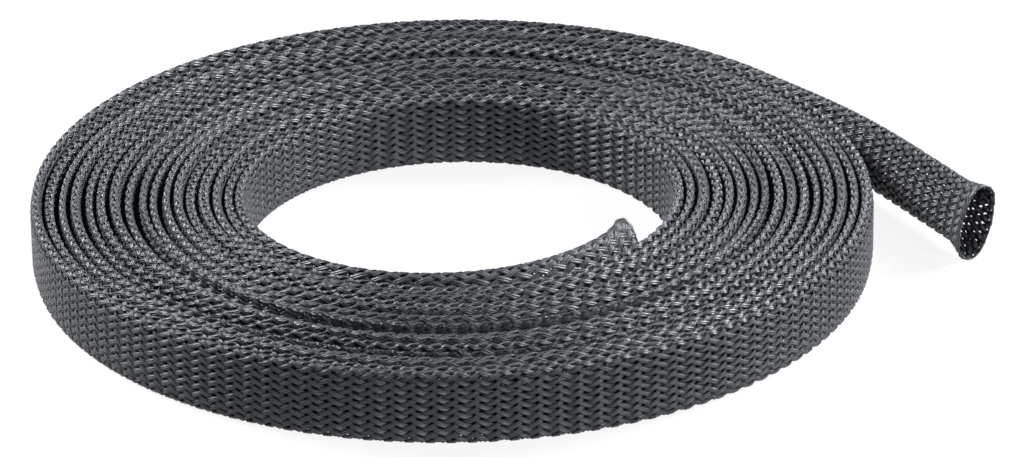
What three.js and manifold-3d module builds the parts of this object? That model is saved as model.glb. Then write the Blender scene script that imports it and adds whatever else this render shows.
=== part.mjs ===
// Braided cable sleeve: one length of flattened sleeve, wound on its edge into a flat coil.
// Both its ends swell and flare into open oval mouths: the inner one stands a little away
// from the coil in the bore, and the outer one lies free beside the coil.
// Millimetres and degrees, +Z up, lying on the floor.

import * as THREE from "three";
import { ParametricGeometry } from "three/addons/geometries/ParametricGeometry.js";
import { mergeVertices } from "three/addons/utils/BufferGeometryUtils.js";
import Module from "manifold-3d";

const wasm = await Module();
wasm.setup();

// The coil
const FLAT_WIDTH = 11; // the sleeve pressed flat, which is the height of the coil
const TURN_PITCH = 1.86; // thickness of one flattened turn
const BORE_RADIUS = 30.5; // at the inner end
const WHOLE_TURNS = 16; // and the part of a turn between the two end angles
const INNER_END_ANGLE = 34; // where the inner mouth lies
const LEAVE_ANGLE = 101; // where the outer end leaves the coil
const STEPS_PER_TURN = 36;

// The folded edges of the turns, which show as ridges on both ends of the coil
const CROWN_WIDTH = 0.7; // flat land on top of each ridge
const GROOVE_DEPTH = 0.85; // down to where two turns meet
const CUTTER_OVERLAP = 0.5; // how far the groove cutter stands clear of the end face

// Both open ends, back from the mouth: the flare, then a swollen stretch, then flat
const FLARE_LENGTH = 5;
const SWOLLEN_LENGTH = 15; // of the flare and the fully swollen stretch
const LEAN = 15; // of the oval's top, towards the left of the way the mouth opens
const WALL = 0.6;
const HOLLOW_DEPTH = 12;
const FLAT_ROUNDNESS = 4; // 2 is an ellipse, more is squarer
const OPEN_ROUNDNESS = 2.4;
const END_SIDES = 20;
const END_OVERLAP = 1.5; // how far each end reaches back into the coil

// The inner end, which follows the first turn
const INNER_SWELL_LENGTH = 60; // in which it swells
const INNER_THICKNESS = 3.9; // where it is swollen
const INNER_HEIGHT = 11.2;
const INNER_MOUTH_WIDTH = 4.1;
const INNER_MOUTH_HEIGHT = 11.6;
const INNER_GAP = 1.5; // between its mouth and the next turn

// The outer end
const TAIL_BEND_LENGTH = 37; // in which it turns from the coil's tangent to straight
const TAIL_STRAIGHT_LENGTH = 17;
const TAIL_SWELL_LENGTH = 39;
const TAIL_THICKNESS = 3.4; // where it is swollen
const TAIL_HEIGHT = 9.8;
const TAIL_LIFT = 1.3; // how far its swollen stretch lies above the floor
const TAIL_MOUTH_WIDTH = 5.8;
const TAIL_MOUTH_HEIGHT = 12;

const DEGREE = Math.PI / 180;
const TURNS = WHOLE_TURNS + 1 + (INNER_END_ANGLE - LEAVE_ANGLE) / 360;
const INNER_LENGTH = SWOLLEN_LENGTH + INNER_SWELL_LENGTH;
const TAIL_LENGTH = TAIL_BEND_LENGTH + TAIL_STRAIGHT_LENGTH;

const INNER_SWELL = {
  length: INNER_SWELL_LENGTH,
  thickness: INNER_THICKNESS,
  height: INNER_HEIGHT,
  lift: 0,
  mouthWidth: INNER_MOUTH_WIDTH,
  mouthHeight: INNER_MOUTH_HEIGHT,
};
const TAIL_SWELL = {
  length: TAIL_SWELL_LENGTH,
  thickness: TAIL_THICKNESS,
  height: TAIL_HEIGHT,
  lift: TAIL_LIFT,
  mouthWidth: TAIL_MOUTH_WIDTH,
  mouthHeight: TAIL_MOUTH_HEIGHT,
};

// The coil proper starts where the inner end is still flat, on a step of the last turn's.
const INNER_TURN = INNER_LENGTH / (2 * Math.PI * (BORE_RADIUS + TURN_PITCH / 2));
const COIL_STEPS = Math.floor((TURNS - INNER_TURN) * STEPS_PER_TURN);
const FIRST_TURN = TURNS - COIL_STEPS / STEPS_PER_TURN;

const { lerp, clamp } = THREE.MathUtils;

function smooth(x) {
  const t = clamp(x, 0, 1);
  return t * t * (3 - 2 * t);
}

// The line where two turns meet, counted in turns from the inner mouth. It winds clockwise
// outwards, seen from above. Its first turn is the bore and its last one the outside.
function seamRadius(turn) {
  return BORE_RADIUS + TURN_PITCH * turn;
}

function turnAngle(turn) {
  return (INNER_END_ANGLE - 360 * turn) * DEGREE;
}

class SeamCurve extends THREE.Curve {
  constructor(height) {
    super();
    this.height = height;
  }

  getPoint(u, target = new THREE.Vector3()) {
    const turn = lerp(FIRST_TURN, TURNS + 1, u);
    const radius = seamRadius(turn);
    const angle = turnAngle(turn);
    return target.set(radius * Math.cos(angle), radius * Math.sin(angle), this.height);
  }

  // Even steps of angle, so that every turn has its corners in the same places.
  getPointAt(u, target) {
    return this.getPoint(u, target);
  }

  getTangentAt(u, target) {
    return this.getTangent(u, target);
  }
}

function seamPoints(firstTurn) {
  const points = [];
  for (let i = 0; i <= STEPS_PER_TURN; i++) {
    const turn = firstTurn + i / STEPS_PER_TURN;
    const radius = seamRadius(turn);
    const angle = turnAngle(turn);
    points.push(new THREE.Vector2(radius * Math.cos(angle), radius * Math.sin(angle)));
  }
  return points;
}

// A closed mesh as a solid that can be joined and cut.
function solid(geometry) {
  const bare = geometry.clone();
  bare.deleteAttribute("normal");
  bare.deleteAttribute("uv");
  const merged = mergeVertices(bare, 1e-4);
  const index = merged.index.array;
  const triVerts = [];
  for (let i = 0; i < index.length; i += 3) {
    const [a, b, c] = [index[i], index[i + 1], index[i + 2]];
    if (a !== b && b !== c && c !== a) {
      triVerts.push(a, b, c);
    }
  }
  return new wasm.Manifold(
    new wasm.Mesh({
      numProp: 3,
      vertProperties: new Float32Array(merged.attributes.position.array),
      triVerts: new Uint32Array(triVerts),
    })
  );
}

function geometryOf(manifold) {
  const mesh = manifold.getMesh();
  const geometry = new THREE.BufferGeometry();
  geometry.setAttribute("position", new THREE.BufferAttribute(mesh.vertProperties, 3));
  geometry.setIndex(new THREE.BufferAttribute(mesh.triVerts, 1));
  geometry.computeVertexNormals();
  return geometry;
}

// The body of the coil: its outside is the last turn and its bore the first one.
function coilBody() {
  const outline = new THREE.Shape(seamPoints(TURNS).reverse());
  outline.holes.push(new THREE.Path(seamPoints(FIRST_TURN)));
  return solid(new THREE.ExtrudeGeometry(outline, { depth: FLAT_WIDTH, bevelEnabled: false }));
}

// A V-shaped cutter that follows the seam round all the turns. In the section x points
// down and y points out from the middle of the coil.
function grooveCutter(height, side) {
  const half = (TURN_PITCH - CROWN_WIDTH) / 2;
  const slope = half / GROOVE_DEPTH;
  const wide = half + slope * CUTTER_OVERLAP;
  const section = new THREE.Shape([
    new THREE.Vector2(side * GROOVE_DEPTH, 0),
    new THREE.Vector2(-side * CUTTER_OVERLAP, wide),
    new THREE.Vector2(-side * CUTTER_OVERLAP, -wide),
  ]);
  const steps = COIL_STEPS + STEPS_PER_TURN;
  return solid(new THREE.ExtrudeGeometry(section, { steps, extrudePath: new SeamCurve(height) }));
}

// The sleeve's section at a distance back from a mouth.
function endSection(back, swollen) {
  const swell = smooth(1 - (back - SWOLLEN_LENGTH) / swollen.length);
  const flare = clamp(1 - back / FLARE_LENGTH, 0, 1) ** 1.5;
  const mix = (flat, full, mouth) => lerp(lerp(flat, full, swell), mouth, flare);
  return {
    thickness: mix(TURN_PITCH, swollen.thickness, swollen.mouthWidth),
    height: mix(FLAT_WIDTH, swollen.height, swollen.mouthHeight),
    roundness: mix(FLAT_ROUNDNESS, OPEN_ROUNDNESS, OPEN_ROUNDNESS),
    lean: LEAN * DEGREE * swell,
    lift: mix(0, swollen.lift, 0),
  };
}

// A point of the section's outline, across to the left of the sleeve and up.
function sectionPoint(section, around, inset) {
  const power = 2 / section.roundness;
  const bend = (value) => Math.sign(value) * Math.abs(value) ** power;
  const across = (section.thickness / 2 - inset) * bend(Math.cos(around));
  const up = (section.height / 2 - inset) * bend(Math.sin(around));
  const point = new THREE.Vector2(across, up);
  return point.rotateAround(new THREE.Vector2(), -section.lean);
}

// How far the section reaches across and up from its middle.
function sectionReach(section) {
  const reach = new THREE.Vector2();
  for (let i = 0; i < END_SIDES; i++) {
    reach.max(sectionPoint(section, (2 * Math.PI * i) / END_SIDES, 0));
  }
  return reach;
}

// The middle line of the inner end, which goes back along the first turn to its mouth. It
// keeps clear of the next turn as it swells.
function innerLine(distance) {
  const radius = BORE_RADIUS + TURN_PITCH / 2;
  const turn = FIRST_TURN - distance / (2 * Math.PI * radius);
  const section = endSection(innerEndLength() - distance, INNER_SWELL);
  const gap = INNER_GAP * smooth(distance / innerEndLength());
  const inwards = sectionReach(section).x - TURN_PITCH / 2 + gap;
  const angle = turnAngle(turn);
  const out = seamRadius(turn) + TURN_PITCH / 2 - inwards;
  return {
    point: new THREE.Vector2(out * Math.cos(angle), out * Math.sin(angle)),
    heading: angle + Math.PI / 2,
  };
}

function innerEndLength() {
  return FIRST_TURN * 2 * Math.PI * (BORE_RADIUS + TURN_PITCH / 2);
}

// The middle line of the outer end, at a distance along it from where it leaves the coil.
function tailLine(distance) {
  const radius = seamRadius(TURNS) + TURN_PITCH / 2;
  const leave = LEAVE_ANGLE * DEGREE;
  const point = new THREE.Vector2(radius * Math.cos(leave), radius * Math.sin(leave));
  const headingAt = (along) => (leave - Math.PI / 2) * (1 - smooth(along / TAIL_BEND_LENGTH));
  const count = 64;
  const step = distance / count;
  for (let i = 0; i < count; i++) {
    const heading = headingAt((i + 0.5) * step);
    point.x += step * Math.cos(heading);
    point.y += step * Math.sin(heading);
  }
  return { point, heading: headingAt(distance) };
}

// An open end of the sleeve as one closed skin: the cap inside the coil, the outside as
// far as the mouth, then back along the inside to the bottom of the hollow.
function openEnd(line, length, swollen) {
  const stations = [];
  const addStations = (from, to, count, inset) => {
    for (let i = 0; i < count; i++) {
      stations.push({ distance: lerp(from, to, i / count), inset });
    }
  };
  addStations(-END_OVERLAP, length - FLARE_LENGTH, 14, 0);
  addStations(length - FLARE_LENGTH, length, 4, 0);
  addStations(length, length, 1, 0);
  addStations(length, length - FLARE_LENGTH, 4, WALL);
  addStations(length - FLARE_LENGTH, length - HOLLOW_DEPTH, 2, WALL);
  addStations(length - HOLLOW_DEPTH, length - HOLLOW_DEPTH, 1, WALL);

  const rings = stations.length + 1;
  const skin = (u, v, target) => {
    const ring = Math.round(v * rings);
    const { distance, inset } = stations[clamp(ring - 1, 0, stations.length - 1)];
    const { point, heading } = line(distance);
    const section = endSection(length - distance, swollen);
    const middle = section.lift + sectionReach(section).y;
    const onAxis = ring === 0 || ring === rings;
    const around = 2 * Math.PI * (u % 1);
    const corner = onAxis ? new THREE.Vector2() : sectionPoint(section, around, inset);
    target.set(
      point.x - corner.x * Math.sin(heading),
      point.y + corner.x * Math.cos(heading),
      middle + corner.y
    );
  };
  return solid(new ParametricGeometry(skin, END_SIDES, rings));
}

function braidedSleeve() {
  const coil = coilBody()
    .subtract(grooveCutter(FLAT_WIDTH, 1))
    .subtract(grooveCutter(0, -1))
    .add(openEnd(innerLine, innerEndLength(), INNER_SWELL))
    .add(openEnd(tailLine, TAIL_LENGTH, TAIL_SWELL));
  const geometry = geometryOf(coil);
  geometry.computeBoundingBox();
  const middle = geometry.boundingBox.getCenter(new THREE.Vector3());
  geometry.translate(-middle.x, -middle.y, 0);
  const material = new THREE.MeshStandardMaterial({ color: 0x34363a, roughness: 0.45, metalness: 0 });
  const mesh = new THREE.Mesh(geometry, material);
  mesh.name = "braided_sleeve";
  return mesh;
}

const part = new THREE.Group();
part.name = "braided_cable_sleeve";
part.add(braidedSleeve());

export default part;
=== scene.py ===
"""Braided cable sleeve: the plaited strands of a flattened sleeve that is wound on its
edge into a flat coil, with both its ends swelling into open mouths. Metres, +Z up."""

import math

import bpy
import numpy as np
from mathutils import Matrix, Vector


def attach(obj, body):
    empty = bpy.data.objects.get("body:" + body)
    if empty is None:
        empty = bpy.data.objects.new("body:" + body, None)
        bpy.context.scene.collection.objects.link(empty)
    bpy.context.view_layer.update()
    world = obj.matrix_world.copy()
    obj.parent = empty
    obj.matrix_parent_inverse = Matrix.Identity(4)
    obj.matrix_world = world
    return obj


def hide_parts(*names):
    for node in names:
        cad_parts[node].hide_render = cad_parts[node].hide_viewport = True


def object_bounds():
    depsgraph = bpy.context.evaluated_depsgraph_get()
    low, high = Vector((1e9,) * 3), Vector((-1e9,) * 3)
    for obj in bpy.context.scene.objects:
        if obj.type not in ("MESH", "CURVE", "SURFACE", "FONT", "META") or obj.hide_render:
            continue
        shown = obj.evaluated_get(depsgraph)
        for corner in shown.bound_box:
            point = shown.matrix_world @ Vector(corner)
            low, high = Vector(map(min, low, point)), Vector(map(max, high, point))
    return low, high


bl_info = {
    "name": "Braided cable sleeve",
    "version": (1, 0, 0),
    "blender": (4, 5, 0),
    "location": "View3D > Sidebar > Sleeve",
    "description": "Plaits the strands of a coiled cable sleeve and sets up its studio",
    "category": "Object",
}

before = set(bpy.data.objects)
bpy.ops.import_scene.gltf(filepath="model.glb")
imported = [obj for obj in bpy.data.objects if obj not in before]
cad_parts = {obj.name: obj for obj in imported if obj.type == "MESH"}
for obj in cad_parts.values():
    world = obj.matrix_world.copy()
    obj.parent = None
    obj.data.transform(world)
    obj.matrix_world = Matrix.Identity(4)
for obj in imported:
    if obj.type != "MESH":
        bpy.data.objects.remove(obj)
CAD_LOW, CAD_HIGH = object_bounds()

MM = 0.001

# The same sizes as the solid's. Both angles are in degrees round the coil's axis.
INNER_END_ANGLE = 34
LEAVE_ANGLE = 101
WHOLE_TURNS = 17  # less the part of a turn between the two angles
TURNS = WHOLE_TURNS + (INNER_END_ANGLE - LEAVE_ANGLE) / 360
OUTLINE_STEPS = 36  # a turn
FLARE_LENGTH = 5 * MM
FLARE_CURVE = 1.5
SWOLLEN_LENGTH = 15 * MM
LEAN = math.radians(15)
INNER_SWELL_LENGTH = 60 * MM
INNER_GAP = 1.5 * MM
TAIL_BEND_LENGTH = 37 * MM
TAIL_STRAIGHT_LENGTH = 17 * MM
TAIL_SWELL_LENGTH = 39 * MM
OPEN_ROUNDNESS = 2.4
# Thickness and height over all: fully swollen, then at the mouth
INNER_OPEN = (3.9 * MM, 11.2 * MM, 4.1 * MM, 11.6 * MM)
TAIL_OPEN = (3.4 * MM, 9.8 * MM, 5.8 * MM, 12 * MM)
TAIL_LIFT = 1.3 * MM

# How the turns lie. A wave is a size, its waves a turn and where it starts. A START or
# END is a turn, and a FADE the turns in which the thing grows.
INNER_EASE = 20 * MM  # of the coil, in which the inner end moves over into its bore
GAP = 0.46 * MM  # between one turn's folded edge and the next
PLACE_WAVES = ((0.17 * MM, 0.29, 0.1), (0.13 * MM, 0.41, 0.62), (0.12 * MM, 0.173, 0.33))
PLACE_FADE = 1.2  # and in which these waves die away again
HEIGHT_WAVES = ((0.26 * MM, 0.37, 0.2), (0.2 * MM, 0.83, 0.7), (0.09 * MM, 2.3, 0.4))
HEIGHT_START, HEIGHT_FADE = 0.6, 0.8
LOOSE_WAVES = ((0.42, 0.27, 0.05), (0.3, 0.43, 0.55), (0.2, 0.131, 0.8))
# Where neighbouring turns part and leave a dark groove: turn, half length in turns, gap
LOOSE_SPOTS = (
    (8.2, 0.32, 0.75 * MM),
    (10.88, 0.12, 0.4 * MM),
    (10.2, 0.18, 0.5 * MM),
    (6.42, 0.1, 0.35 * MM),
    (12.2, 0.2, 0.45 * MM),
    (14.45, 0.15, 0.2 * MM),
    (3.4, 0.12, 0.2 * MM),
)
SUNK_SHARE = 0.8  # of such a gap, by which the turn outside it is lower
SLACK = 0.32 * MM  # between the outer turns where they spread on the near left side
SLACK_START, SLACK_END = 7.5, 16
SLACK_AZIMUTH, SLACK_POWER = 298, 6  # degrees, and how narrow it is
BULGE = 0.65 * MM  # how far the outer turns stand out on the side away from the free end
BULGE_START, BULGE_FADE = 8, 8
BULGE_AZIMUTH, BULGE_POWER = 240, 2

# The braid
LAYS = 18  # strands each way round
STRANDS_A_PIECE = 6
OVER_SHARE = 0.3  # of the way to the next crossing that a strand stays on top
STEP = 0.5 * MM  # along the middle line
SKIN_ROOM = 0.03 * MM  # between the strands and the sleeve's outside
SIDE_TIGHTNESS, SIDE_AZIMUTH = 0.28, 60  # the crossings lie closer on two opposite sides
MOUTH_TIGHTNESS = 1.4  # at the outer mouth
TAIL_LOOSENESS = 0.9  # where it is swollen
AHEAD = 0.002  # of the way round, to find the direction round the section
STEEPEST = 0.95  # sine of the steepest braid angle
# Widths of a strand against its width in the coil: swollen, at the mouth, and the length
# in which it grows from one to the other
INNER_BROAD = (1.05, 1.3, 10 * MM)
TAIL_BROAD = (0.88, 1.3, 8 * MM)
# Each strand's own waves: a size and its waves a crossing. Their starts are drawn.
STRAY_WAVES = ((0.0014, 0.021), (0.0012, 0.067), (0.0007, 0.23))
WIDTH_WAVES = ((0.05, 0.031), (0.05, 0.11), (0.04, 0.29))
ANGLE_WAVES = ((0.03, 9.1, 0.3), (0.03, 3.7, 0.8))  # waves a metre
LONGEST_STUB = 0.25  # of a crossing, from a mouth to where a strand starts
FIRST_SEED, OTHER_WAY_SEED = 1000, 500

# A strand's section where the braid lies close, then where it is loose
WIDTH = (1.02, 0.86)
THICKNESS = (0.75, 1.0)
LIFT = (0.6, 1.0)  # off the braid's middle surface, in thicknesses
HALF_TOP = (0.33, 0.27)  # of the ribbon's flat top, in widths
LOWER_WIDER = 0.12
CREST_NARROWER = 0.12
CREST_START, CREST_FADE = 0.86, 0.1  # of the way up to the folded edge
TEXTURE_ACROSS = (0.0, 0.3, 0.7, 1.0)  # at the ribbon's four corners

# Which strands are plaited in full, and how those between two turns fill the gap
TOP_DEPTH = 1.9 * MM  # down from the folded edge
TOP_DEPTH_GAPS = 3  # more depth, in gaps, where the turns have parted
UNDER_DEPTH = 1.0 * MM
OUTSIDE_TURNS = 1.08  # the last ones, which show on the coil's outside
BORE_TURNS = 1.1
FREE_TURNS = 0.5  # of the inner end, which is plaited in full all round
HIDDEN_EVERY = 8  # of the stations that a strand keeps between two turns
HIDDEN_WIDTH = 1.3  # against the width of a strand that shows
HIDDEN_LIFT = 0.3  # in thicknesses
OVERLAP = 0.2 * MM  # of each turn's hidden strands into the next, so no light comes through
TOUCH_START, TOUCH_FADE = 0.8 * MM, 1.1 * MM  # down from the folded edge
FILL_START, FILL_FADE = 2 * MM, 1.5 * MM

# The rims
RIM_WIDTH = 0.55 * MM
RIM_THICKNESS = 0.36 * MM
RIM_SET_BACK = 0.1 * MM
RIM_STEPS, RIM_SIDES = 144, 8
RIM_SIZE_WAVES = ((0.12, 7, 0.1), (0.1, 17, 0.4), (0.07, 36, 0.2))  # waves a round
RIM_PLACE_WAVES = ((0.06 * MM, 5, 0.3), (0.05 * MM, 18, 0.1))
RIM_ROUGHNESS = 0.42
RIM_GRAIN = 2600  # a metre

# The plastic
PLASTIC_IOR = 1.5
GLOSS_TINT = (0.9, 0.94, 1.0, 1)
FILAMENTS = 4  # side by side in a strand
RELIEF_DEPTH = 0.1 * MM

# The camera, fitted to the photograph. Its place is given round the coil's axis.
PHOTO_WIDTH = 1024
FOCAL_PIXELS = 6438.9
SENSOR_WIDTH = 36  # in the millimetres of a lens
CAMERA_TURN = math.radians(60)
CAMERA_ELEVATION = math.radians(25.378)
CAMERA_ROLL = math.radians(-0.68)
CAMERA_DISTANCE = 971.7 * MM
CAMERA_AIM = Vector((8.15 * MM, 8.56 * MM, 0))
FARTHEST_SEEN = 10  # metres

# The floor and lights. A lamp is a name, place, size and power.
FLOOR_SIZE = 6
FLOOR_DROP = 0.1 * MM  # below the solid's foot, clear of the lowest strands
FLOOR_GLOW = 0.88
SKY_STRENGTH = 0.15
LAMPS = (
    ("front_light", (1.16, 0.28, 0.52), 0.5, 22.0),
    ("left_light", (-0.94, -0.61, 0.84), 0.5, 60.0),
    ("right_light", (0.06, 1.12, 0.84), 0.5, 54.0),
)


class SleeveSizes(bpy.types.PropertyGroup):
    """Sizes of the sleeve and its strands."""

    flat_width: bpy.props.FloatProperty(
        name="Flat width",
        description="Width of the sleeve pressed flat, which is the coil's height",
        default=0.011,
        unit="LENGTH",
    )
    turn_pitch: bpy.props.FloatProperty(
        name="Turn pitch",
        description="Thickness of one flattened turn",
        default=0.00186,
        precision=5,
        unit="LENGTH",
    )
    bore_radius: bpy.props.FloatProperty(
        name="Bore radius",
        description="Radius of the coil's bore at the inner end",
        default=0.0305,
        precision=4,
        unit="LENGTH",
    )
    strand_width: bpy.props.FloatProperty(
        name="Strand width",
        description="Width of one strand, a flat bundle of filaments",
        default=0.00092,
        precision=5,
        unit="LENGTH",
    )
    strand_thickness: bpy.props.FloatProperty(
        name="Strand thickness",
        description="Thickness of one strand",
        default=0.00019,
        precision=5,
        unit="LENGTH",
    )
    braid_angle: bpy.props.FloatProperty(
        name="Braid angle",
        description="Angle between a strand and the sleeve's length, where it lies flat",
        default=math.radians(21),
        subtype="ANGLE",
    )
    unevenness: bpy.props.FloatProperty(
        name="Unevenness",
        description="How much the turns differ from one another in width and place",
        default=1.0,
        min=0.0,
        max=1.5,
    )


class SleeveFinish(bpy.types.PropertyGroup):
    """Colour and gloss of the strands."""

    strand_colour: bpy.props.FloatVectorProperty(
        name="Strand colour",
        description="Colour of the plastic filaments",
        subtype="COLOR",
        size=3,
        min=0.0,
        max=1.0,
        default=(0.021, 0.023, 0.027),
    )
    gloss_roughness: bpy.props.FloatProperty(
        name="Roughness",
        description="Roughness of the filaments' gloss",
        default=0.42,
        min=0.0,
        max=1.0,
    )


class StudioSettings(bpy.types.PropertyGroup):
    """The floor and lights."""

    floor_colour: bpy.props.FloatVectorProperty(
        name="Floor colour",
        description="Colour of the plain floor",
        subtype="COLOR",
        size=3,
        min=0.0,
        max=1.0,
        default=(0.05, 0.05, 0.05),
    )
    light_strength: bpy.props.FloatProperty(
        name="Light strength",
        description="Strength of the soft lights, 1 as photographed",
        default=1.0,
        min=0.0,
    )


def smooth(x):
    """A soft step that rises from 0 to 1 as x does."""
    t = np.clip(x, 0, 1)
    return t * t * (3 - 2 * t)


def lerp(a, b, t):
    return a + (b - a) * t


def waves(x, terms):
    """The sum of sine waves, each a (size, waves a unit, start)."""
    return sum(size * np.sin(2 * math.pi * (rate * x + start)) for size, rate, start in terms)


def on_side(azimuth, middle, power):
    """1 on one side of the coil, falling to 0 on the opposite side."""
    return (0.5 + 0.5 * np.cos(azimuth - math.radians(middle))) ** power


def coil_axis(sizes):
    """Where the coil's axis stands: its spiral outline touches the CAD box's low x and y."""
    corners = TURNS + np.arange(OUTLINE_STEPS + 1) / OUTLINE_STEPS
    angle = np.radians(INNER_END_ANGLE - 360 * corners)
    radius = sizes.bore_radius + sizes.turn_pitch * corners
    low_x = (radius * np.cos(angle)).min()
    low_y = (radius * np.sin(angle)).min()
    return CAD_LOW.x - low_x, CAD_LOW.y - low_y


def wander(turn, sizes):
    """How far a turn lies off its even spiral. The bore turn and the last one keep to it."""
    inside = smooth((turn - 1) / PLACE_FADE) * smooth((TURNS - 1 - turn) / PLACE_FADE)
    return inside * sizes.unevenness * waves(turn, PLACE_WAVES)


def loose_gap(turn, sizes):
    """The gap that the loose spots leave outside a turn."""
    spots = (size * np.exp(-(((turn - spot) / half) ** 2)) for spot, half, size in LOOSE_SPOTS)
    return sizes.unevenness * sum(spots)


def looseness(turn):
    """From 0, where the strands lie close and a row of them runs along the folded edge, to
    1, where they stand apart and two rows meet there in a herringbone."""
    return smooth(0.5 + waves(turn, LOOSE_WAVES))


def tightness(azimuth):
    """How much closer the crossings lie on two sides of the coil than on the others."""
    sides = 0.5 + 0.5 * np.cos(2 * (azimuth - math.radians(SIDE_AZIMUTH)))
    return 1 + SIDE_TIGHTNESS * sides


def opened(back, sizes, flat, swell_length, full):
    """Thickness, height, swell and flare at a distance back from a mouth."""
    swell = smooth(1 - (back - SWOLLEN_LENGTH) / swell_length)
    flare = np.clip(1 - back / FLARE_LENGTH, 0, 1) ** FLARE_CURVE
    thickness = lerp(lerp(flat, full[0], swell), full[2], flare)
    height = lerp(lerp(sizes.flat_width, full[1], swell), full[3], flare)
    return thickness, height, swell, flare


def reach(thickness, height, lean):
    """How far a leaning oval reaches across and up from its middle."""
    a, b = thickness / 2, height / 2
    across = np.hypot(a * np.cos(lean), b * np.sin(lean))
    up = np.hypot(a * np.sin(lean), b * np.cos(lean))
    return across, up


def broadness(back, swell, broad):
    """A strand's width against its width in the coil, at a distance back from a mouth."""
    swollen, at_mouth, length = broad
    return lerp(1, lerp(swollen, at_mouth, smooth(1 - back / length)), swell)


def turn_places(turn, azimuth, sizes):
    """Where each turn's middle stands, counted in turns from the bore, how thick it is and
    the wider gap that it leaves outside it."""
    pitch = sizes.turn_pitch
    place = turn + 0.5 + wander(turn, sizes) / pitch
    after = turn + 1.5 + wander(turn + 1, sizes) / pitch
    before = turn - 0.5 + wander(turn - 1, sizes) / pitch
    slack = smooth(turn - SLACK_START) * smooth(SLACK_END - turn)
    slack = slack * on_side(azimuth, SLACK_AZIMUTH, SLACK_POWER)
    gap = loose_gap(turn, sizes) + SLACK * sizes.unevenness * slack
    flat = (after - before) * pitch / 2 - GAP - gap
    # Each turn stands midway in the room that its neighbours leave it
    place = place + (after - 2 * place + before) / 4 - gap / 2 / pitch
    return place, flat, gap


def coil_line(sizes):
    """The middle line from the inner mouth to where the outer end leaves the coil, about
    the coil's axis, with the flat thickness at its last step."""
    pitch = sizes.turn_pitch
    wound = 2 * math.pi * (sizes.bore_radius + pitch * (TURNS + 1) / 2) * TURNS
    turn = np.linspace(0, TURNS, int(wound / STEP))
    azimuth = np.radians(INNER_END_ANGLE - 360 * turn)
    place, flat, gap = turn_places(turn, azimuth, sizes)
    steps = np.concatenate([[0], np.diff(turn)]) * 2 * math.pi
    along = np.cumsum(steps * (sizes.bore_radius + pitch * place))
    thickness, height, swell, _ = opened(along, sizes, flat, INNER_SWELL_LENGTH, INNER_OPEN)
    lean = -LEAN * swell
    across, up = reach(thickness, height, lean)
    # The inner end swells into the bore and stands a little away from the coil
    end_length = SWOLLEN_LENGTH + INNER_SWELL_LENGTH
    apart = INNER_GAP * smooth(1 - along / end_length)
    near = smooth(1 - (along - end_length) / INNER_EASE)
    bulge = BULGE * smooth((turn - BULGE_START) / BULGE_FADE)
    bulge = bulge * on_side(azimuth, BULGE_AZIMUTH, BULGE_POWER)
    radius = sizes.bore_radius + pitch * place + bulge
    radius = radius - near * (across - pitch / 2) - apart
    uneven = (1 - swell) * smooth((turn - HEIGHT_START) / HEIGHT_FADE) * sizes.unevenness
    ridge = waves(turn, HEIGHT_WAVES) * uneven - SUNK_SHARE * loose_gap(turn - 1, sizes)
    line = {
        "x": radius * np.cos(azimuth),
        "y": radius * np.sin(azimuth),
        "heading": azimuth - math.pi / 2,
        "thickness": thickness,
        "height": height + ridge,
        "open": swell,
        "lean": lean,
        "middle": lerp(height / 2, up, swell) + ridge / 2,
        "turn": turn,
        "gap": gap,
        "tight": tightness(azimuth),
        "loose": looseness(turn) * (1 - swell),
        "broad": broadness(along, swell, INNER_BROAD),
    }
    return line, flat[-1]


def tail_line(sizes, coil, flat):
    """The middle line of the outer end, from where it leaves the coil to its mouth."""
    length = TAIL_BEND_LENGTH + TAIL_STRAIGHT_LENGTH
    along = np.linspace(0, length, int(length / STEP) * 2)[1:]
    step = along[1] - along[0]
    straight = math.radians(-360 * WHOLE_TURNS)
    leave = straight + math.radians(LEAVE_ANGLE - 90)
    heading = straight + (leave - straight) * (1 - smooth(along / TAIL_BEND_LENGTH))
    back = length - along
    thickness, height, swell, flare = opened(back, sizes, flat, TAIL_SWELL_LENGTH, TAIL_OPEN)
    lean = LEAN * swell
    _, up = reach(thickness, height, lean)
    return {
        "x": coil["x"][-1] + np.cumsum(np.cos(heading)) * step,
        "y": coil["y"][-1] + np.cumsum(np.sin(heading)) * step,
        "heading": heading,
        "thickness": thickness,
        "height": height,
        "open": swell,
        "lean": lean,
        "middle": lerp(height / 2, up, swell) + TAIL_LIFT * swell * (1 - flare),
        "turn": TURNS + along,
        "gap": along * 0,
        "tight": lerp(coil["tight"][-1], MOUTH_TIGHTNESS, smooth(along / length)),
        "loose": lerp(coil["loose"][-1], TAIL_LOOSENESS, swell),
        "broad": broadness(back, swell, TAIL_BROAD),
    }


def middle_line(sizes):
    """The middle line from mouth to mouth, with the strands' section at even steps."""
    coil, flat = coil_line(sizes)
    tail = tail_line(sizes, coil, flat)
    line = {key: np.concatenate([coil[key], tail[key]]) for key in coil}
    axis_x, axis_y = coil_axis(sizes)
    line["x"] = line["x"] + axis_x
    line["y"] = line["y"] + axis_y
    # The strands' middle surface lies within the sleeve's outside
    skin = sizes.strand_thickness + SKIN_ROOM
    line["thickness"] = line["thickness"] - 2 * skin
    line["height"] = line["height"] - 2 * skin
    return line


# Steps round a quarter of the open oval, how many ovals from narrow to round are worked
# out, and the points that each is measured by
OVAL_STEPS = 64
OVAL_KINDS = 24
NARROWEST_OVAL = 0.08
OVAL_POINTS = 1500
ROW_EDGE = 0.001  # how far a place stays off the table's last row and column


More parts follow.
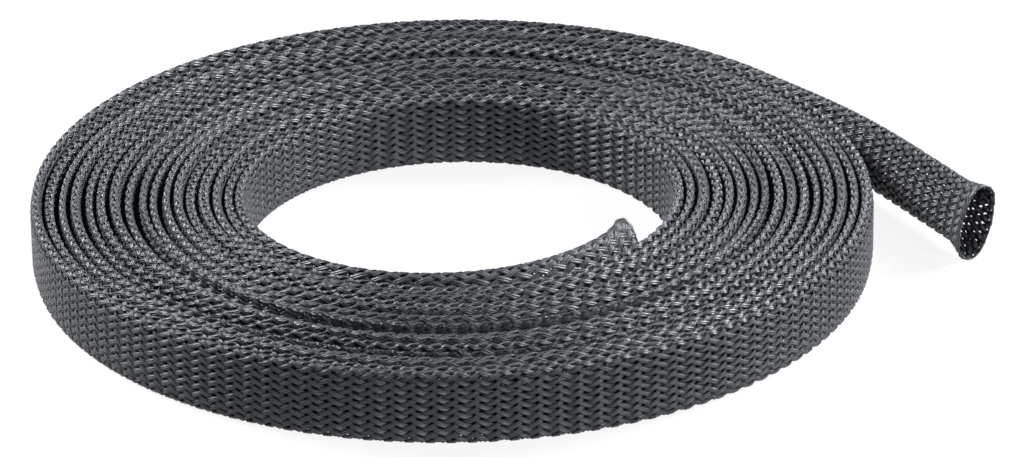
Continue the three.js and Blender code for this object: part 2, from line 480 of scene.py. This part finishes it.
def quarter_table():
    """Even steps round a quarter of the open oval, for ovals from narrow to round."""
    shares = np.linspace(0, 1, OVAL_STEPS + 1)
    ratios = np.linspace(NARROWEST_OVAL, 1, OVAL_KINDS)
    angle = np.linspace(0, math.pi / 2, OVAL_POINTS)
    power = 2 / OPEN_ROUNDNESS
    x = np.cos(angle).clip(0) ** power
    y = np.sin(angle).clip(0) ** power
    across, up, length = [], [], []
    for ratio in ratios:
        steps = np.hypot(np.diff(x) * ratio, np.diff(y))
        travelled = np.concatenate([[0], np.cumsum(steps)])
        even = shares * travelled[-1]
        across.append(np.interp(even, travelled, x))
        up.append(np.interp(even, travelled, y))
        length.append(travelled[-1])
    return np.array(across), np.array(up), ratios, np.array(length)


OVAL_ACROSS, OVAL_UP, OVAL_RATIOS, OVAL_LENGTH = quarter_table()


def from_table(table, ratio, share):
    """A value between the table's rows, by the oval's ratio, and its steps, by share."""
    row = np.interp(ratio, OVAL_RATIOS, np.arange(OVAL_KINDS))
    row = row.clip(0, OVAL_KINDS - 1 - ROW_EDGE)
    column = (share * OVAL_STEPS).clip(0, OVAL_STEPS - ROW_EDGE)
    r, c = row.astype(int), column.astype(int)
    low = lerp(table[r, c], table[r, c + 1], column - c)
    high = lerp(table[r + 1, c], table[r + 1, c + 1], column - c)
    return lerp(low, high, row - r)


def round_section(thickness, height, opening, around):
    """A point of the section, across and up, at a share of the way round it."""
    a, b = thickness / 2, height / 2
    quarters = (around % 1) * 4
    quarter = np.floor(quarters).astype(int) % 4
    part = quarters - np.floor(quarters)
    share = np.where(quarter % 2 == 0, part, 1 - part)
    straight = b - a
    travelled = share * (straight + math.pi / 2 * a)
    bend = (travelled - straight).clip(0) / a
    flat_x = np.where(travelled < straight, a, a * np.cos(bend))
    flat_y = np.where(travelled < straight, travelled, straight + a * np.sin(bend))
    oval_x = a * from_table(OVAL_ACROSS, a / b, share)
    oval_y = b * from_table(OVAL_UP, a / b, share)
    x = lerp(flat_x, oval_x, opening)
    y = lerp(flat_y, oval_y, opening)
    x = np.where((quarter == 1) | (quarter == 2), -x, x)
    y = np.where(quarter >= 2, -y, y)
    return x, y


def way_round(thickness, height, opening):
    """The length round the section."""
    a, b = thickness / 2, height / 2
    flat = 4 * (b - a) + 2 * math.pi * a
    oval = 4 * b * np.interp(a / b, OVAL_RATIOS, OVAL_LENGTH)
    return lerp(flat, oval, opening)


def leaned(x, y, lean):
    """A point or direction of the section, across and up, once the section leans."""
    return x * np.cos(lean) + y * np.sin(lean), y * np.cos(lean) - x * np.sin(lean)


def braid_line(sizes):
    """The middle line with the crossing number that the braid has reached at each step."""
    line = middle_line(sizes)
    steps = np.hypot(np.diff(line["x"]), np.diff(line["y"]))
    line["along"] = np.concatenate([[0], np.cumsum(steps)])
    line["girth"] = way_round(line["thickness"], line["height"], line["open"])
    lay = np.median(line["girth"]) / math.sin(sizes.braid_angle)
    angle = np.arcsin((line["girth"] / lay).clip(0, STEEPEST))
    angle = angle * (1 + waves(line["along"], ANGLE_WAVES))
    line["slope"] = np.tan(angle) * line["tight"]
    rate = line["slope"] / line["girth"] * 2 * LAYS
    crossings = np.cumsum((rate[1:] + rate[:-1]) / 2 * steps)
    line["crossing"] = np.concatenate([[0], crossings])
    return line


def placed(here, around, forward, lift):
    """Points on the sleeve at a share of the way round, moved along it and lifted off it."""
    section = here["thickness"], here["height"], here["open"]
    x, y = round_section(*section, around)
    ahead_x, ahead_y = round_section(*section, around + AHEAD)
    out_x, out_y = ahead_y - y, x - ahead_x
    scale = np.hypot(out_x, out_y)
    across, up = leaned(x + lift * out_x / scale, y + lift * out_y / scale, here["lean"])
    cos_h, sin_h = np.cos(here["heading"]), np.sin(here["heading"])
    points = [
        here["x"] - across * sin_h + forward * cos_h,
        here["y"] + across * cos_h + forward * sin_h,
        here["middle"] + up,
    ]
    return np.stack(points, axis=1)


def strand_stations(last, way, draw):
    """The crossing numbers where a strand bends, just before and after each crossing, and
    its side of the braid there: 1 on top, -1 below."""
    whole = np.arange(int(last) + 2)
    stations = np.stack([whole - OVER_SHARE, whole + OVER_SHARE], axis=1).ravel()
    top = np.repeat(np.where(whole % 2 == 0, 1.0, -1.0), 2)
    start, end = draw.uniform(0, LONGEST_STUB, 2)
    keep = (stations > start) & (stations < last - end)
    crossing = np.concatenate([[start], stations[keep], [last - end]])
    side = np.concatenate([[1.0], top[keep], [top[keep][-1]]]) * way
    return crossing, side


def own_waves(crossing, shapes, starts):
    """A strand's own waves along its crossings, with the starts that were drawn for it."""
    return waves(crossing, [(*shape, start) for shape, start in zip(shapes, starts)])


def showing(here, x, y):
    """Where a strand shows or nearly shows, and where no other turn lies against it."""
    exposed = (x > 0) & (here["turn"] > TURNS - OUTSIDE_TURNS)
    exposed |= (x < 0) & (here["turn"] < BORE_TURNS)
    depth = np.where(y > 0, TOP_DEPTH + TOP_DEPTH_GAPS * here["gap"], UNDER_DEPTH)
    seen = np.abs(y) > here["height"] / 2 - depth
    seen |= exposed | (here["turn"] < FREE_TURNS) | (here["turn"] > TURNS)
    return seen, exposed


def filling(here, x, y, exposed):
    """How far the strands stand out below the fold, where the turns touch and overlap."""
    deep = here["height"] / 2 - np.abs(y)
    touch = smooth((deep - TOUCH_START) / TOUCH_FADE) * GAP / 2
    fill = np.where(exposed, 0, here["gap"] * (x > 0) + OVERLAP)
    fill = smooth((deep - FILL_START) / FILL_FADE) * fill
    return (touch + fill) * (1 - here["open"])


def fold_width(here, y):
    """A strand's width by its height on the flat sleeve: more below, less on the crest."""
    high = 2 * y / here["height"]
    crest = smooth((np.abs(high) - CREST_START) / CREST_FADE) * (1 - here["open"])
    return 1 + LOWER_WIDER * smooth(-high) - CREST_NARROWER * crest


def strand_ribbon(line, sizes, way, number):
    """A strand's four corners at each of its stations, and the length along the sleeve."""
    draw = np.random.default_rng(FIRST_SEED + number + (OTHER_WAY_SEED if way < 0 else 0))
    crossing, side = strand_stations(line["crossing"][-1], way, draw)
    starts = draw.uniform(0, 1, len(STRAY_WAVES) + len(WIDTH_WAVES))
    stray = own_waves(crossing, STRAY_WAVES, starts[: len(STRAY_WAVES)])
    width = 1 + own_waves(crossing, WIDTH_WAVES, starts[len(STRAY_WAVES) :])
    here = {key: np.interp(crossing, line["crossing"], line[key]) for key in line}
    # Where the braid is loose, it is turned by half a lay, and two rows meet on the fold
    around = number / LAYS + way * crossing / (2 * LAYS) + stray
    around = around + here["loose"] * 0.5 / (2 * LAYS)
    x, y = round_section(here["thickness"], here["height"], here["open"], around)
    seen, exposed = showing(here, x, y)
    below = filling(here, x, y, exposed)
    loose, slope = here["loose"], here["slope"]
    width = sizes.strand_width * width * here["broad"] * lerp(*WIDTH, loose)
    width = width * fold_width(here, y) * np.where(seen, 1, HIDDEN_WIDTH)
    thick = sizes.strand_thickness * lerp(*THICKNESS, loose)
    lift = thick * np.where(seen, lerp(*LIFT, loose) * side, HIDDEN_LIFT * way) + below
    half_top = lerp(*HALF_TOP, loose)
    # The ribbon bends round the fold: its edges follow the section too
    width_round = width / np.hypot(1, slope)
    corners = ((-0.5, -0.5), (-half_top, 0.5), (half_top, 0.5), (0.5, -0.5))
    ring = []
    for sideways, outwards in corners:
        shift = sideways * width_round
        turned = around + shift / here["girth"]
        ring.append(placed(here, turned, -way * shift * slope, lift + outwards * thick))
    kept = seen | (np.arange(len(crossing)) % HIDDEN_EVERY == 0)
    kept[[0, -1]] = True
    return np.stack(ring, axis=1)[kept], here["along"][kept]


def ribbon_faces(first, count):
    """The faces of one closed ribbon with four corners at each of its stations."""
    base = first + 4 * np.arange(count - 1)[:, None]
    sides = []
    for k in range(4):
        j = (k + 1) % 4
        sides.append(np.concatenate([base + k, base + j, base + 4 + j, base + 4 + k], axis=1))
    start = first + np.array([[3, 2, 1, 0]])
    end = first + 4 * (count - 1) + np.array([[0, 1, 2, 3]])
    return np.concatenate([*sides, start, end])


def strand_mesh(name, line, sizes, strands):
    """A mesh of several strands, each (way, number): a closed flat ribbon of four sides."""
    vertices, uvs, faces = [], [], []
    first = 0
    for way, number in strands:
        ring, along = strand_ribbon(line, sizes, way, number)
        uv = np.zeros((len(ring), 4, 2))
        uv[:, :, 0] = along[:, None]
        uv[:, :, 1] = TEXTURE_ACROSS
        vertices.append(ring.reshape(-1, 3))
        uvs.append(uv.reshape(-1, 2))
        faces.append(ribbon_faces(first, len(ring)))
        first += 4 * len(ring)
    return closed_mesh(name, vertices, uvs, faces)


def closed_mesh(name, vertices, uvs, faces):
    """A smooth mesh of four-sided faces that face out, with a UV for each vertex."""
    vertices, uvs, faces = map(np.concatenate, (vertices, uvs, faces))
    if signed_volume(vertices, faces) < 0:
        faces = faces[:, ::-1]
    mesh = bpy.data.meshes.new(name)
    mesh.vertices.add(len(vertices))
    mesh.vertices.foreach_set("co", vertices.ravel())
    mesh.loops.add(faces.size)
    mesh.loops.foreach_set("vertex_index", faces.ravel().astype(np.int32))
    mesh.polygons.add(len(faces))
    mesh.polygons.foreach_set("loop_start", np.arange(0, faces.size, 4, dtype=np.int32))
    mesh.update(calc_edges=True)
    mesh.polygons.foreach_set("use_smooth", np.ones(len(faces), dtype=bool))
    layer = mesh.uv_layers.new(name="strand")
    layer.data.foreach_set("uv", uvs[faces.ravel()].ravel())
    mesh.update()
    return mesh


def signed_volume(vertices, faces):
    """The volume that the faces enclose, below 0 where they face in."""
    a, b, c, d = (vertices[faces[:, k]] for k in range(4))
    first = np.einsum("ij,ij->i", a, np.cross(b, c))
    second = np.einsum("ij,ij->i", a, np.cross(c, d))
    return (first.sum() + second.sum()) / 6


def rim_ring(station, ahead):
    """The points of one mouth's rim: some sides at each step round it."""
    around = np.arange(RIM_STEPS) / RIM_STEPS
    x, y = round_section(station["thickness"], station["height"], station["open"], around)
    out_x = np.roll(y, -1) - np.roll(y, 1)
    out_y = np.roll(x, 1) - np.roll(x, -1)
    scale = np.hypot(out_x, out_y)
    out_x, out_y = leaned(out_x / scale, out_y / scale, station["lean"])
    x, y = leaned(x, y, station["lean"])
    heading = station["heading"]
    left = np.array([-math.sin(heading), math.cos(heading), 0])
    forward = np.array([math.cos(heading), math.sin(heading), 0]) * ahead
    up = np.array([0, 0, 1.0])
    middle = np.array([station["x"], station["y"], station["middle"]])
    ragged = waves(around, RIM_PLACE_WAVES) - RIM_SET_BACK
    size = 1 + waves(around, RIM_SIZE_WAVES)
    point = middle + left * x[:, None] + up * y[:, None] + forward * ragged[:, None]
    out = left * out_x[:, None] + up * out_y[:, None]
    ring = []
    for k in range(RIM_SIDES):
        angle = 2 * math.pi * k / RIM_SIDES
        wide = RIM_WIDTH / 2 * math.cos(angle) * size
        thick = RIM_THICKNESS / 2 * math.sin(angle) * size
        ring.append(point + forward * wide[:, None] + out * thick[:, None])
    return np.stack(ring, axis=1).reshape(-1, 3)


def rim_faces():
    """The faces of one rim, closed round the mouth and round its own section."""
    i, k = np.meshgrid(np.arange(RIM_STEPS), np.arange(RIM_SIDES), indexing="ij")
    j, m = (i + 1) % RIM_STEPS, (k + 1) % RIM_SIDES
    quads = [i * RIM_SIDES + k, i * RIM_SIDES + m, j * RIM_SIDES + m, j * RIM_SIDES + k]
    return np.stack(quads, axis=-1).reshape(-1, 4)


def rim_mesh(name, line):
    """The hot-cut edge of both mouths: a low fused band that joins the strands' ends."""
    uv = np.zeros((RIM_STEPS, RIM_SIDES, 2))
    uv[:, :, 0] = np.arange(RIM_STEPS)[:, None] / RIM_STEPS
    uv[:, :, 1] = np.arange(RIM_SIDES) / RIM_SIDES
    vertices, faces = [], []
    for number, (end, ahead) in enumerate(((0, -1), (-1, 1))):
        ring = rim_ring({key: line[key][end] for key in line}, ahead)
        quads = rim_faces()
        if signed_volume(ring, quads) < 0:
            quads = quads[:, ::-1]
        vertices.append(ring)
        faces.append(quads + number * len(ring))
    return closed_mesh(name, vertices, [uv.reshape(-1, 2)] * 2, faces)


def plastic(name, finish, roughness):
    """The sleeve's dark plastic, before its relief."""
    material = bpy.data.materials.new(name)
    material.use_nodes = True
    shader = material.node_tree.nodes["Principled BSDF"]
    shader.inputs["Base Color"].default_value = (*finish.strand_colour, 1)
    shader.inputs["Roughness"].default_value = roughness
    shader.inputs["IOR"].default_value = PLASTIC_IOR
    return material


def add_relief(material, height):
    """Bump that follows a height from 0 to 1."""
    nodes, links = material.node_tree.nodes, material.node_tree.links
    bump = nodes.new("ShaderNodeBump")
    bump.inputs["Distance"].default_value = RELIEF_DEPTH
    links.new(height, bump.inputs["Height"])
    links.new(bump.outputs["Normal"], nodes["Principled BSDF"].inputs["Normal"])


def rim_material(finish):
    """The same plastic where the hot blade has melted the filaments together."""
    material = plastic("melted_edge", finish, RIM_ROUGHNESS)
    nodes, links = material.node_tree.nodes, material.node_tree.links
    place = nodes.new("ShaderNodeTexCoord")
    noise = nodes.new("ShaderNodeTexNoise")
    noise.inputs["Scale"].default_value = RIM_GRAIN
    noise.inputs["Detail"].default_value = 3
    links.new(place.outputs["Object"], noise.inputs["Vector"])
    add_relief(material, noise.outputs["Fac"])
    return material


def strand_material(finish):
    """Dark glossy plastic filaments that lie side by side along each strand."""
    material = plastic("braid_filaments", finish, finish.gloss_roughness)
    nodes, links = material.node_tree.nodes, material.node_tree.links
    nodes["Principled BSDF"].inputs["Specular Tint"].default_value = GLOSS_TINT
    uv = nodes.new("ShaderNodeUVMap")
    uv.uv_map = "strand"
    split = nodes.new("ShaderNodeSeparateXYZ")
    links.new(uv.outputs["UV"], split.inputs["Vector"])
    # Each filament is one hump of a sine, across the strand
    turn = nodes.new("ShaderNodeMath")
    turn.operation = "MULTIPLY"
    turn.inputs[1].default_value = math.pi * FILAMENTS
    links.new(split.outputs["Y"], turn.inputs[0])
    wave = nodes.new("ShaderNodeMath")
    wave.operation = "SINE"
    links.new(turn.outputs["Value"], wave.inputs[0])
    hump = nodes.new("ShaderNodeMath")
    hump.operation = "ABSOLUTE"
    links.new(wave.outputs["Value"], hump.inputs[0])
    add_relief(material, hump.outputs["Value"])
    return material


def add_piece(scene, name, mesh, material):
    """Put a finished mesh in the scene, in the solid sleeve's place."""
    mesh.materials.append(material)
    piece = bpy.data.objects.new(name, mesh)
    scene.collection.objects.link(piece)
    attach(piece, "root")
    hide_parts("braided_sleeve")


class SLEEVE_OT_strands(bpy.types.Operator):
    """Plait the sleeve's strands along the coil and its two open ends"""

    bl_idname = "sleeve.strands"
    bl_label = "Strands"

    def execute(self, context):
        sizes = context.scene.sleeve_sizes
        material = strand_material(context.scene.sleeve_finish)
        line = braid_line(sizes)
        for way, word in ((1, "left"), (-1, "right")):
            for first in range(0, LAYS, STRANDS_A_PIECE):
                name = f"strands_{word}_{first // STRANDS_A_PIECE + 1}"
                strands = [(way, n) for n in range(first, first + STRANDS_A_PIECE)]
                mesh = strand_mesh(name, line, sizes, strands)
                add_piece(context.scene, name, mesh, material)
        return {"FINISHED"}


class SLEEVE_OT_rims(bpy.types.Operator):
    """Fuse the strands' ends into a rim round each of the two open mouths"""

    bl_idname = "sleeve.rims"
    bl_label = "Cut rims"

    def execute(self, context):
        mesh = rim_mesh("cut_rims", braid_line(context.scene.sleeve_sizes))
        material = rim_material(context.scene.sleeve_finish)
        add_piece(context.scene, "cut_rims", mesh, material)
        return {"FINISHED"}


class SLEEVE_OT_stage(bpy.types.Operator):
    """Set up the pale floor, the soft lights and the camera"""

    bl_idname = "sleeve.stage"
    bl_label = "Stage"

    def execute(self, context):
        scene = context.scene
        set_camera(scene)
        set_floor(scene.sleeve_studio)
        set_lights(scene, scene.sleeve_studio)
        scene.view_settings.view_transform = "Standard"
        return {"FINISHED"}


def set_camera(scene):
    """The camera stands where the photograph was taken from."""
    axis_x, axis_y = coil_axis(scene.sleeve_sizes)
    turned = Matrix.Translation((axis_x, axis_y, 0)) @ Matrix.Rotation(CAMERA_TURN, 4, "Z")
    back = Vector((0, -math.cos(CAMERA_ELEVATION), math.sin(CAMERA_ELEVATION)))
    right = Vector((1, 0, 0))
    up = back.cross(right)
    rolled = right * math.cos(CAMERA_ROLL) + up * math.sin(CAMERA_ROLL)
    upward = up * math.cos(CAMERA_ROLL) - right * math.sin(CAMERA_ROLL)
    matrix = Matrix((rolled, upward, back)).transposed().to_4x4()
    matrix.translation = CAMERA_AIM + back * CAMERA_DISTANCE
    bpy.ops.object.camera_add()
    camera = bpy.context.object
    camera.name = "camera"
    camera.matrix_world = turned @ matrix
    camera.data.lens = FOCAL_PIXELS / PHOTO_WIDTH * SENSOR_WIDTH
    camera.data.sensor_width = SENSOR_WIDTH
    camera.data.clip_end = FARTHEST_SEEN
    scene.camera = camera


def set_floor(studio):
    """A pale floor that glows a little, so that it comes out white and nearly shadowless."""
    bpy.ops.mesh.primitive_plane_add(size=FLOOR_SIZE, location=(0, 0, -FLOOR_DROP))
    floor = bpy.context.object
    floor.name = "floor"
    material = bpy.data.materials.new("floor_paper")
    material.use_nodes = True
    shader = material.node_tree.nodes["Principled BSDF"]
    shader.inputs["Base Color"].default_value = (*studio.floor_colour, 1)
    shader.inputs["Roughness"].default_value = 0.9
    shader.inputs["Specular IOR Level"].default_value = 0.1
    shader.inputs["Emission Color"].default_value = (1, 1, 1, 1)
    shader.inputs["Emission Strength"].default_value = FLOOR_GLOW
    floor.data.materials.append(material)


def set_lights(scene, studio):
    """Faint light from all round, and soft round lamps that point at the origin."""
    world = bpy.data.worlds.new("studio_air")
    scene.world = world
    world.use_nodes = True
    sky = world.node_tree.nodes["Background"]
    sky.inputs["Color"].default_value = (1, 1, 1, 1)
    sky.inputs["Strength"].default_value = SKY_STRENGTH * studio.light_strength
    for name, place, size, power in LAMPS:
        bpy.ops.object.light_add(type="AREA", location=place)
        lamp = bpy.context.object
        lamp.name = name
        lamp.data.shape = "DISK"
        lamp.data.size = size
        lamp.data.energy = power * studio.light_strength
        lamp.rotation_mode = "QUATERNION"
        lamp.rotation_quaternion = (-Vector(place)).to_track_quat("-Z", "Y")


class SLEEVE_PT_panel(bpy.types.Panel):
    """The sleeve's pieces, sizes and studio"""

    bl_idname = "SLEEVE_PT_panel"
    bl_label = "Braided cable sleeve"
    bl_space_type = "VIEW_3D"
    bl_region_type = "UI"
    bl_category = "Sleeve"

    def draw(self, context):
        scene = context.scene
        for group in (scene.sleeve_sizes, scene.sleeve_finish, scene.sleeve_studio):
            box = self.layout.box()
            for key in group.__annotations__:
                box.prop(group, key)
        for operator in (SLEEVE_OT_stage, SLEEVE_OT_strands, SLEEVE_OT_rims):
            self.layout.operator(operator.bl_idname)


CLASSES = (
    SleeveSizes,
    SleeveFinish,
    StudioSettings,
    SLEEVE_OT_strands,
    SLEEVE_OT_rims,
    SLEEVE_OT_stage,
    SLEEVE_PT_panel,
)


def register():
    for each in CLASSES:
        bpy.utils.register_class(each)
    bpy.types.Scene.sleeve_sizes = bpy.props.PointerProperty(type=SleeveSizes)
    bpy.types.Scene.sleeve_finish = bpy.props.PointerProperty(type=SleeveFinish)
    bpy.types.Scene.sleeve_studio = bpy.props.PointerProperty(type=StudioSettings)


def unregister():
    del bpy.types.Scene.sleeve_studio
    del bpy.types.Scene.sleeve_finish
    del bpy.types.Scene.sleeve_sizes
    for each in reversed(CLASSES):
        bpy.utils.unregister_class(each)


def main():
    """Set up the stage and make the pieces."""
    register()
    bpy.ops.sleeve.stage()
    bpy.ops.sleeve.strands()
    bpy.ops.sleeve.rims()


if __name__ == "__main__":
    main()
